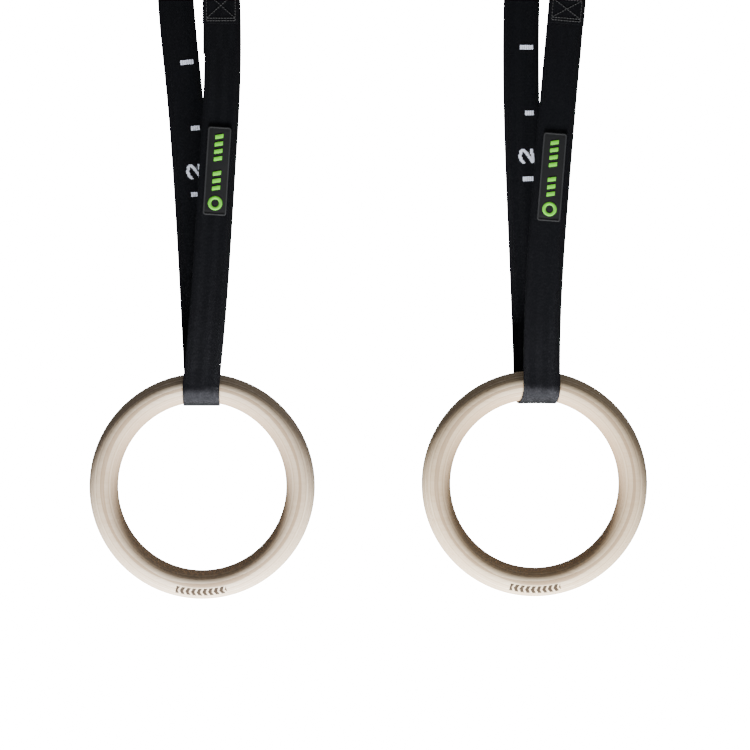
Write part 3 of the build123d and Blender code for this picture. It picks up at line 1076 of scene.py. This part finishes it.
class Webbing:
    """One side's strap, as the lengths between its bends."""

    STEP = 1.6 * MM
    LOOP_FOOT = -12 * MM
    LOOP_BLEND = (9 * MM, -30 * MM)
    TOP_BLEND_LEAD = 2 * MM
    TOP_BLEND_FOOT = -108 * MM
    SLING_LEVEL = 3 * MM
    SLING_HEAD = 13 * MM
    SLING_BLEND = (2 * MM, -15 * MM)
    GRIP_HEAD = 46 * MM
    GRIP_START = 13.5 * MM
    GRIP_CORNER = 5 * MM
    TAIL_GAP = 0.35 * MM
    TAIL_BEND = 5 * MM
    HEM = 10 * MM
    HEM_GAP = 0.1375 * MM
    SEAM = -9 * MM
    SEAM_LEAD = 2 * MM
    FLAP_BEND = 4 * MM
    PAST_HALF = math.radians(18)

    def __init__(self, side: Side, finishes: Finishes) -> None:
        """Take the side's sizes.

        Args:
            side: the side.
            finishes: the materials.
        """
        self.side = side
        self.finishes = finishes
        self.run = 0.0

    def piece(self, name: str, path: list[Vector]) -> bpy.types.Object:
        """Model one length, and count it along the strap.

        Args:
            name: its name, without the side.
            path: its centre line.

        Returns:
            The piece.
        """
        s = self.side
        path = even(path, self.STEP)
        ribbon = Ribbon(s.section, self.run)
        obj = ribbon.build(s.own(name), path, self.finishes.webbing)
        length = length_of(path)
        self.run += length
        LOG.info("%s: %.0f mm of webbing", obj.name, length / MM)
        return obj

    def blend(self, obj: bpy.types.Object, a: str, b: str, start: float, end: float) -> None:
        """Bake a piece's place into its mesh; it is not bent between the two bodies.

        Args:
            obj: the piece.
            a: the body above.
            b: the body below.
            start: the height where it leaves a; not used.
            end: the height where it follows b; not used.
        """
        s = self.side
        s.own(a)
        s.own(b)
        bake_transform(obj)

    def blend_top(self, obj: bpy.types.Object) -> None:
        """Bake a strand's place into its mesh; it is not bent between the part that swings and the
        part that sways.
        """
        start = self.side.BAR_JOIN - self.TOP_BLEND_LEAD
        self.blend(obj, "strap_top", "strap_upper", start, self.TOP_BLEND_FOOT)

    def over_bar(self) -> None:
        """The strap over the bar, down to the two strands' tops."""
        s = self.side
        r = s.bar_r
        arc = [Vector((s.bar_x, -r * math.cos(a), r * math.sin(a))) for a in turns(32)]
        front = s.hang(Strand.FRONT, s.BAR_JOIN, self.LOOP_FOOT)
        rear = s.hang(Strand.REAR, self.LOOP_FOOT, s.BAR_JOIN)
        obj = self.piece("webbing_over_bar", front + arc + rear)
        self.blend(obj, "bar_seat", "strap_top", *self.LOOP_BLEND)
        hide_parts(s.own("bar_loop"))

    def rear_upper(self) -> None:
        """Rear strand from the bar down to where the strap twists."""
        s = self.side
        obj = self.piece("rear_webbing_upper", s.hang(Strand.REAR, s.BAR_JOIN, s.TWIST_TOP))
        self.blend_top(obj)
        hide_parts(s.own("rear_strand_top"), s.own("rear_strand_upper"))

    def lower(self, strand: Strand) -> None:
        """A strand from where it twists down to just above the ring.

        Args:
            strand: which strand.
        """
        s = self.side
        path = s.hang(strand, s.TWIST_TOP, s.wrap_join)
        obj = self.piece(f"{strand.value}_webbing_lower", path)
        s.twist(obj)
        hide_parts(s.own(f"{strand.value}_strand_lower"))

    def sling(self) -> None:
        """The strap round the ring's tube."""
        s = self.side
        level, head = s.tube_z + self.SLING_LEVEL, s.tube_z + self.SLING_HEAD
        front = s.hang(Strand.FRONT, s.wrap_join, head)
        rear = s.hang(Strand.REAR, head, s.wrap_join)
        start, end = s.on(Strand.FRONT, level), s.on(Strand.REAR, level)
        arc = []
        for a in turns(40):
            x = start.x + (end.x - start.x) * (1 - math.cos(a)) / 2
            y = -(s.sling_r + s.SLING_SLACK) * math.cos(a)
            arc.append(Vector((x, y, s.tube_z - s.sling_r * math.sin(a))))
        obj = self.piece("sling_webbing", front + arc + rear)
        self.blend(obj, "strap_lower", "sling", *(s.tube_z + z for z in self.SLING_BLEND))
        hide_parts(s.own("sling"))

    def sewn(self) -> None:
        """Front strand's upper end, round the sewn bar and down to its flap's cut end."""
        s = self.side
        half, y = s.thick / 2, s.sewn_bar_y
        r = s.SEWN_BAR_R + half
        lead = self.SEAM - self.SEAM_LEAD
        strand = s.hang(Strand.FRONT, s.TWIST_TOP, s.local(0, lead).z)
        around = turns(24, -self.PAST_HALF, math.pi + self.PAST_HALF)
        arc = [s.local(y + r * math.cos(a), r * math.sin(a)) for a in around]
        low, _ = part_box(s.own("sewn_end"))
        foot = s.along(low.z) + s.corner_rise
        flap = [s.local(y - half, z) for z in (self.SEAM, self.SEAM - self.FLAP_BEND, foot)]
        back = [s.local(y + half, z) for z in (lead, self.SEAM)]
        obj = self.piece("sewn_end_webbing", strand[:-1] + back + arc + flap)
        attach(obj, s.own("strap_upper"))
        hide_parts(s.own("sewn_end"), s.own("sewn_strand"))

    def numbered(self) -> None:
        """Front strand from the bar through the buckle, and its hemmed tail behind."""
        s = self.side
        low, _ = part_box(s.own("tail"))
        foot = s.along(low.z)
        y = s.sewn_bar_y + s.SEWN_BAR_R + 1.5 * s.thick + self.TAIL_GAP
        top = s.hang(Strand.FRONT, s.BAR_JOIN, s.local(0, self.GRIP_HEAD).z)
        fold = s.thick / 2 + self.HEM_GAP
        corners = [
            top[-1],
            s.local(s.front_y, self.GRIP_START),
            s.local(y, self.TAIL_BEND),
            s.local(y, foot + fold),
        ]
        bend = [
            s.local(y + fold * (1 - math.cos(a)), foot + fold - fold * math.sin(a))
            for a in turns(8)[1:-1]
        ]
        hem = [s.local(y + 2 * fold, foot + rise) for rise in (fold, self.HEM)]
        path = top[:-1] + eased(corners, self.GRIP_CORNER) + bend + hem
        obj = self.piece("numbered_webbing", path)
        self.blend_top(obj)
        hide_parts(s.own("front_strand_top"), s.own("numbered_strand"), s.own("tail"))

    def build(self) -> None:
        """Model the whole strap."""
        self.over_bar()
        self.rear_upper()
        self.lower(Strand.REAR)
        self.sling()
        self.lower(Strand.FRONT)
        self.sewn()
        self.numbered()


@dataclass
class Ring:
    """The plywood ring."""

    side: Side
    around: int = 288
    about: int = 96

    def build(self) -> None:
        """Model the ring, whose plies are in its finish."""
        s = self.side
        major = s.outer_r - s.tube_r
        clear_selection()
        bpy.ops.mesh.primitive_torus_add(
            location=s.ring,
            rotation=(math.pi / 2, 0, 0),
            major_segments=self.around,
            minor_segments=self.about,
            major_radius=major,
            minor_radius=s.tube_r,
        )
        warmth = 0.0 if s.name == Hand.LEFT.value else 1.0
        finish = BirchFinish(f"{s.name}_birch", s.ring, s.outer_r, s.tube_r, warmth)
        obj = settle(bpy.context.object, s.own("plywood_ring"), finish.make())
        bpy.ops.object.shade_smooth()
        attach(obj, s.own("ring"))
        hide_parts(s.own("ring"))
        LOG.info("%s: %d faces", obj.name, len(obj.data.polygons))


class Thread:
    """Rows of stitches in sewing thread."""

    PITCH = 3.0 * MM
    GAP = 0.06
    OVERLAP = 0.52

    def __init__(self, finish: bpy.types.Material, radius: float = 0.42 * MM) -> None:
        """Take the thread's finish and thickness.

        Args:
            finish: the thread's material.
            radius: half the thread's thickness.
        """
        self.finish = finish
        self.radius = radius
        self.stitches: list[bpy.types.Object] = []

    def stitch(self, start: Vector, end: Vector) -> None:
        """One stitch, thick in the middle and drawn down at its ends.

        Args:
            start: where the thread comes out of the cloth.
            end: where it goes back in.
        """
        clear_selection()
        bpy.ops.mesh.primitive_uv_sphere_add(segments=8, ring_count=8, radius=1.0)
        obj = bpy.context.object
        run = end - start
        turn = run.to_track_quat("Z", "Y").to_matrix().to_4x4()
        scale = Matrix.Diagonal((self.radius, self.radius, run.length * self.OVERLAP, 1))
        obj.data.transform(Matrix.Translation((start + end) / 2) @ turn @ scale)
        self.stitches.append(obj)

    def row(self, start: Vector, end: Vector) -> None:
        """A straight row of stitches.

        Args:
            start: one end.
            end: the other end.
        """
        count = max(1, round((end - start).length / self.PITCH))
        for i in range(count):
            ends = ((i + self.GAP) / count, (i + 1 - self.GAP) / count)
            self.stitch(*(start.lerp(end, share) for share in ends))

    def finish_rows(self, name: str) -> bpy.types.Object:
        """Join every stitch into one piece.

        Args:
            name: the piece's name.

        Returns:
            The piece.
        """
        obj = settle(join_all(self.stitches), name, self.finish)
        bpy.ops.object.shade_smooth()
        self.stitches = []
        LOG.info("%s: sewn", name)
        return obj


@dataclass
class BoxStitch:
    """Box-and-cross seam of the sewn end, and the tail's hem seam."""

    side: Side
    finishes: Finishes
    margin: float = 4.2 * MM
    inset: float = 2.6 * MM
    proud: float = 0.12 * MM
    hem_margin: float = 1.5 * MM
    hem_rows: tuple = (6.0 * MM, 8.4 * MM)
    hem_front: float = 0.23 * MM
    hem_fold: float = 0.5 * MM

    def build(self) -> None:
        """Sew both faces of the seam, and the hem."""
        s = self.side
        low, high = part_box(s.own("box_stitch"))
        half = s.width / 2 - self.margin
        span = (high.z - low.z) / math.cos(s.buckle_lean)
        span -= 2 * half * math.tan(abs(s.buckle_lean))
        foot = s.along(low.z + half * math.sin(abs(s.buckle_lean)))
        out = s.thick + self.proud
        thread = Thread(self.finishes.thread)
        for y in (s.sewn_bar_y - out, s.sewn_bar_y + out):
            self._box(thread, y, half, foot, foot + span)
        obj = thread.finish_rows(s.own("box_seam"))
        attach(obj, s.own("strap_upper"))
        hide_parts(s.own("box_stitch"))
        self._hem()

    def _box(self, thread: Thread, y: float, half: float, foot: float, head: float) -> None:
        """One face of the seam: an outline sewn twice across, and a cross inside.

        Args:
            thread: the thread.
            y: the face.
            half: half the box's width.
            foot: its lower edge in the buckle's frame.
            head: its upper edge.
        """
        inner = foot + self.inset
        for (a, low), (b, high) in (
            ((-half, foot), (half, foot)),
            ((-half, inner), (half, inner)),
            ((-half, head), (half, head)),
            ((-half, foot), (-half, head)),
            ((half, foot), (half, head)),
            ((-half, inner), (half, head)),
            ((half, inner), (-half, head)),
        ):
            thread.row(self.side.local(y, low, a), self.side.local(y, high, b))

    def _hem(self) -> None:
        """Two rows across the folded end of the tail."""
        s = self.side
        low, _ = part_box(s.own("tail"))
        foot = s.along(low.z) + s.corner_rise
        front = s.sewn_bar_y + s.SEWN_BAR_R + s.thick + self.hem_front
        thread = Thread(self.finishes.thread)
        half = s.width / 2 - self.hem_margin
        for y in (front, front + 2 * s.thick + self.hem_fold):
            for rise in self.hem_rows:
                thread.row(s.local(y, foot + rise, -half), s.local(y, foot + rise, half))
        obj = thread.finish_rows(s.own("hem_seam"))
        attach(obj, s.own("strap_upper"))


@dataclass
class Label:
    """Moulded rubber label on the front strand."""

    side: Side
    finishes: Finishes
    width: float = 24 * MM
    length: float = 91 * MM
    corner: float = 2.6 * MM
    thick: float = 1.4 * MM
    border: float = 1.5 * MM
    rise: float = 0.45 * MM
    sunk: float = 0.05 * MM
    slices: int = 14
    soft_angle: float = math.radians(35)
    bar: tuple = (8.4 * MM, 4.2 * MM, 0.6 * MM)
    bar_steps: tuple = (0, 1, 2, 4, 5, 6, 7)
    bar_pitch: float = 7.6 * MM
    first_bar: float = -17.5 * MM
    bar_slant: float = 0.22
    hoop_place: float = -33 * MM
    hoop_r: float = 5.7 * MM
    hoop_tube_r: float = 1.8 * MM
    hoop_flatness: float = 0.25

    def _frame(self) -> Matrix:
        """The label's place: x across it, y along it, z out of its face."""
        s = self.side
        low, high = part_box(s.own("label"))
        middle = (low.z + high.z) / 2
        lean = s.lines[Strand.FRONT].lean(middle)
        x = Vector((math.cos(lean), 0, -math.sin(lean)))
        up = Vector((math.sin(lean), 0, math.cos(lean)))
        place = Matrix((x, up, x.cross(up))).transposed().to_4x4()
        place.translation = Vector((s.lines[Strand.FRONT].x(middle), high.y, middle))
        return place

    def _slab(self, width: float, length: float, corner: float, thick: float) -> bpy.types.Object:
        """Flat slab with round corners.

        Args:
            width: its size across.
            length: its size along.
            corner: corner radius.
            thick: its thickness.

        Returns:
            The slab, standing on z = 0.
        """
        clear_selection()
        bpy.ops.mesh.primitive_plane_add(size=1)
        obj = bpy.context.object
        obj.scale = (width, length, 1)
        bpy.ops.object.transform_apply(location=False, rotation=False, scale=True)
        bpy.ops.object.mode_set(mode="EDIT")
        bpy.ops.mesh.select_all(action="SELECT")
        bpy.ops.mesh.bevel(offset=corner, segments=6, affect="VERTICES")
        bpy.ops.mesh.extrude_region_move(TRANSFORM_OT_translate={"value": (0, 0, thick)})
        bpy.ops.mesh.select_all(action="SELECT")
        bpy.ops.mesh.normals_make_consistent(inside=False)
        bpy.ops.object.mode_set(mode="OBJECT")
        return obj

    def _slice(self, obj: bpy.types.Object) -> None:
        """Cut a piece across at equal steps.

        Args:
            obj: the piece, as long as the label.
        """
        take(obj)
        bpy.ops.object.mode_set(mode="EDIT")
        for i in range(1, self.slices):
            bpy.ops.mesh.select_all(action="SELECT")
            y = -self.length / 2 + self.length * i / self.slices
            bpy.ops.mesh.bisect(plane_co=(0, y, 0), plane_no=(0, 1, 0))
        bpy.ops.object.mode_set(mode="OBJECT")

    def _place(
        self, obj: bpy.types.Object, name: str, finish: bpy.types.Material, step: float
    ) -> None:
        """Round a moulded piece's edges and fix it to the strand.

        Args:
            obj: the piece, flat at the origin.
            name: its name.
            finish: its material.
            step: width of its rounded edges.
        """
        s = self.side
        take(obj)
        bevel = obj.modifiers.new("edge", "BEVEL")
        bevel.width, bevel.segments, bevel.limit_method = step, 2, "ANGLE"
        bevel.angle_limit = math.radians(50)
        apply_modifiers(obj)
        obj.data.transform(self._frame())
        settle(obj, s.own(name), finish)
        bpy.ops.object.shade_smooth_by_angle(angle=self.soft_angle)
        s.twist(obj)
        LOG.info("%s: moulded", obj.name)

    def build(self) -> None:
        """Model the slab, its raised border and its plain marks."""
        slab = self._slab(self.width, self.length, self.corner, self.thick)
        self._slice(slab)
        self._place(slab, "label_slab", self.finishes.rubber, 0.3 * MM)
        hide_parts(self.side.own("label"))
        self._border()
        self._marks()

    def _border(self) -> None:
        """Raised rim round the label's face."""
        rim = self._slab(self.width, self.length, self.corner, self.rise)
        take(rim)
        bpy.context.tool_settings.mesh_select_mode = (False, False, True)
        for face in rim.data.polygons:
            face.select = abs(face.normal.z) > 0.9
        bpy.ops.object.mode_set(mode="EDIT")
        bpy.ops.mesh.inset(thickness=self.border, depth=0)
        bpy.ops.mesh.bridge_edge_loops()
        bpy.ops.mesh.select_all(action="SELECT")
        bpy.ops.mesh.normals_make_consistent(inside=False)
        bpy.context.tool_settings.mesh_select_mode = (True, False, False)
        bpy.ops.object.mode_set(mode="OBJECT")
        self._slice(rim)
        rim.data.transform(Matrix.Translation((0, 0, self.thick - self.sunk)))
        self._place(rim, "label_border", self.finishes.border, 0.15 * MM)

    def _marks(self) -> None:
        """A column of plain bars above a small hoop."""
        parts = []
        for step in self.bar_steps:
            bar = self._slab(*self.bar, self.rise)
            slant = Matrix.Identity(4)
            slant[1][0] = self.bar_slant
            slant[1][3] = self.first_bar + step * self.bar_pitch
            bar.data.transform(slant)
            parts.append(bar)
        clear_selection()
        bpy.ops.mesh.primitive_torus_add(
            location=(0, self.hoop_place, 0),
            major_segments=40,
            minor_segments=12,
            major_radius=self.hoop_r,
            minor_radius=self.hoop_tube_r,
        )
        bpy.context.object.scale.z = self.hoop_flatness
        bpy.ops.object.transform_apply(location=True, scale=True)
        parts.append(bpy.context.object)
        marks = join_all(parts)
        marks.data.transform(Matrix.Translation((0, 0, self.thick - self.sunk)))
        self._place(marks, "label_marks", self.finishes.mark, 0.12 * MM)


@dataclass
class Scale:
    """White scale woven into the rear strand's front face."""

    side: Side
    finishes: Finishes
    pitch: float = 69.2 * MM
    long_mark: float = 14 * MM
    short_mark: float = 9.4 * MM
    height: float = 5.0 * MM
    edge_margin: float = 6.2 * MM
    figure_inset: float = 1.7 * MM
    yarn: float = 0.95 * MM
    float_length: float = 2.3 * MM
    float_overlap: float = 0.55
    yarn_overlap: float = 0.56
    float_rise: float = 0.26 * MM
    first_rise: float = 0.4 * MM
    top: float = -200 * MM
    marks: int = 5
    figure_mark: int = 2
    figure_rise: float = 23.8 * MM
    figure_size: tuple = (15.6 * MM, 15.2 * MM)
    stroke: float = 1.95 * MM
    figure: tuple = (
        (0.05, 0.70), (0.25, 0.86), (0.5, 0.93), (0.78, 0.88), (0.93, 0.72),
        (0.74, 0.5), (0.38, 0.26), (0.1, 0.08), (0.45, 0.08), (0.97, 0.12),
    )  # fmt: skip

    def build(self) -> None:
        """Weave every mark and the figure, as one piece above the twist and one below."""
        s = self.side
        low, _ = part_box(s.own("scale_marks_lower"))
        z = low.z + self.height / 2 + self.first_rise
        cells: list[tuple[float, float]] = []
        count = 0
        while z < self.top or count < self.marks:
            cells += self._mark(z, self.short_mark if count % 2 else self.long_mark)
            if count == self.figure_mark:
                cells += self._figure(z + self.figure_rise)
            z += self.pitch
            count += 1
        piece = self._weave([c for c in cells if c[1] < s.TWIST_TOP], "scale_lower")
        s.twist(piece)
        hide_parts(s.own("scale_marks_lower"), s.own("scale_numeral"))
        upper = [c for c in cells if c[1] >= s.TWIST_TOP]
        if upper:
            piece = self._weave(upper, "scale_upper")
            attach(piece, s.own("strap_upper"))
        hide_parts(s.own("scale_marks_upper"))

    def _mark(self, z: float, length: float) -> list[tuple[float, float]]:
        """Cells of one mark.

        Args:
            z: its middle.
            length: its length across the strap.

        Returns:
            Places across and up the strap.
        """
        rows = round(self.height / self.yarn)
        columns = round(length / self.float_length)
        right = self.side.width / 2 - self.edge_margin
        cells = []
        for row in range(rows):
            for column in range(columns):
                a = right - (column + 0.5) * length / columns
                cells.append((a, z + (row - (rows - 1) / 2) * self.yarn))
        return cells

    def _figure(self, z: float) -> list[tuple[float, float]]:
        """Cells of the figure two, turned to read up the strap.

        Args:
            z: its middle.

        Returns:
            Places across and up the strap.
        """
        wide, tall = self.figure_size
        path = [((u - 0.5) * wide, (v - 0.5) * tall) for u, v in self.figure]
        middle = self.side.width / 2 - self.edge_margin - tall / 2 - self.figure_inset
        across, up = round(tall / self.yarn), round(wide / self.yarn)
        cells = []
        for i in range(across):
            for j in range(up):
                u = (j - (up - 1) / 2) * self.yarn
                v = (i - (across - 1) / 2) * self.yarn
                if self._near(path, u, v) < self.stroke / 2:
                    cells.append((middle - v, z + u))
        return cells

    def _near(self, path: list[tuple[float, float]], u: float, v: float) -> float:
        """Distance from a point to a line of strokes.

        Args:
            path: the strokes' corners.
            u: the point's first coordinate.
            v: its second.

        Returns:
            The distance.
        """
        best = 1.0
        for (x0, y0), (x1, y1) in zip(path, path[1:]):
            dx, dy = x1 - x0, y1 - y0
            t = ((u - x0) * dx + (v - y0) * dy) / (dx * dx + dy * dy)
            t = min(max(t, 0), 1)
            best = min(best, math.hypot(u - x0 - t * dx, v - y0 - t * dy))
        return best

    def _weave(self, cells: list[tuple[float, float]], name: str) -> bpy.types.Object:
        """Lay a float of yarn at every cell.

        Args:
            cells: places across and up the strap.
            name: the piece's name.

        Returns:
            The piece.
        """
        s = self.side
        clear_selection()
        bpy.ops.mesh.primitive_uv_sphere_add(segments=8, ring_count=5, radius=1.0)
        pattern = bpy.context.object
        length, width = self.float_length * self.float_overlap, self.yarn * self.yarn_overlap
        size = Matrix.Diagonal((length, self.float_rise, width, 1))
        floats = []
        for a, z in cells:
            lean = s.lines[Strand.REAR].lean(z)
            centre = s.on(Strand.REAR, z, s.thick / 2)
            across = Vector((math.cos(lean), 0, -math.sin(lean)))
            turn = Matrix.Rotation(lean, 4, "Y")
            place = Matrix.Translation(centre + across * a)
            floats.append(copy_at(pattern, place @ turn @ size))
        discard(pattern)
        obj = settle(join_all(floats), s.own(name), self.finishes.scale_yarn)
        bpy.ops.object.shade_smooth()
        LOG.info("%s: %d floats of yarn", obj.name, len(cells))
        return obj


@dataclass
class Buckle:
    """The cam buckle, whose CAD pieces get their finishes."""

    side: Side
    finishes: Finishes

    def build(self) -> None:
        """Give each metal piece its finish."""
        finish = {
            "buckle_frame": self.finishes.cast,
            "cam_lever": self.finishes.cast,
            "sewn_bar": self.finishes.steel,
            "cam_pin": self.finishes.steel,
            "cam_spring": self.finishes.steel,
        }
        for part, material in finish.items():
            obj = frame["nodes"][self.side.own(part)]
            for holder in obj.material_slots:
                holder.material = material
            LOG.info("%s: finished", obj.name)


@dataclass
class Studio:
    """Camera, soft lights and white paper."""

    middle: Vector
    field: float = 0.78125
    distance: float = 2.3
    sensor: float = 36.0
    clip_end: float = 50.0
    floor_z: float = -2.7
    wall_y: float = 7.0
    wall_height: float = 30.0
    bend: float = 1.6
    size: float = 60.0
    world: float = 0.15
    lights: tuple = (
        ("front_softbox", (-0.12, -0.67, -2.42), (0.9, 0.6), 300.0),
        ("side_softbox", (1.9, -1.4, -0.9), (1.0, 1.4), 8.0),
        ("top_fill", (0.2, -1.6, 0.9), (1.2, 1.2), 2.0),
    )

    def build(self) -> None:
        """Set up the camera, the backdrop and the lights."""
        self._camera()
        self._paper()
        for light in self.lights:
            self._light(*light)
        world = bpy.data.worlds.new("studio")
        world.use_nodes = True
        background = world.node_tree.nodes["Background"]
        background.inputs["Color"].default_value = (1, 1, 1, 1)
        background.inputs["Strength"].default_value = self.world
        bpy.context.scene.world = world

    def _camera(self) -> None:
        """Camera straight in front of the rings."""
        data = bpy.data.cameras.new("camera")
        data.sensor_width = self.sensor
        data.lens = self.sensor * self.distance / self.field
        data.clip_end = self.clip_end
        camera = bpy.data.objects.new("camera", data)
        bpy.context.collection.objects.link(camera)
        camera.location = self.middle + Vector((0, -self.distance, 0))
        camera.rotation_euler = (math.pi / 2, 0, 0)
        bpy.context.scene.camera = camera

    def _paper(self) -> None:
        """Floor and wall in one curved sheet."""
        clear_selection()
        place = (0, self.wall_y - self.size / 2, self.floor_z)
        bpy.ops.mesh.primitive_plane_add(size=self.size, location=place)
        paper = bpy.context.object
        bpy.ops.object.transform_apply(location=True)
        bpy.ops.object.mode_set(mode="EDIT")
        bpy.ops.mesh.select_all(action="DESELECT")
        bpy.ops.object.mode_set(mode="OBJECT")
        for edge in paper.data.edges:
            ends = [paper.data.vertices[i].co.y for i in edge.vertices]
            edge.select = min(ends) > self.wall_y - self.bend
        bpy.ops.object.mode_set(mode="EDIT")
        rise = {"value": (0, 0, self.wall_height)}
        bpy.ops.mesh.extrude_region_move(TRANSFORM_OT_translate=rise)
        bpy.ops.object.mode_set(mode="OBJECT")
        bevel = paper.modifiers.new("sweep", "BEVEL")
        bevel.width, bevel.segments = self.bend, 24
        apply_modifiers(paper)
        settle(paper, "paper", BackdropFinish().make())
        bpy.ops.object.shade_smooth()

    def _light(self, name: str, place: tuple, size: tuple, power: float) -> None:
        """A softbox aimed at the rings.

        Args:
            name: its name.
            place: where it stands.
            size: its width and height.
            power: in watts.
        """
        data = bpy.data.lights.new(name, "AREA")
        data.shape = "RECTANGLE"
        data.size, data.size_y = size
        data.energy = power
        lamp = bpy.data.objects.new(name, data)
        bpy.context.collection.objects.link(lamp)
        lamp.location = place
        lamp.rotation_euler = (self.middle - Vector(place)).to_track_quat("-Z", "Y").to_euler()


def main() -> None:
    """Build the studio and both sides."""
    logging.basicConfig(level=logging.INFO, format="%(name)s %(message)s")
    sides = [Side(hand) for hand in Hand]
    left, right = (side.ring for side in sides)
    look_x = (left.x + right.x) / 2 + LOOK_SHIFT
    Studio(Vector((look_x, 0, left.z + LOOK_RISE))).build()
    finishes = Finishes.make()
    for side in sides:
        Webbing(side, finishes).build()
        Ring(side).build()
        BoxStitch(side, finishes).build()
        Label(side, finishes).build()
        Scale(side, finishes).build()
        Buckle(side, finishes).build()


if __name__ == "__main__":
    main()
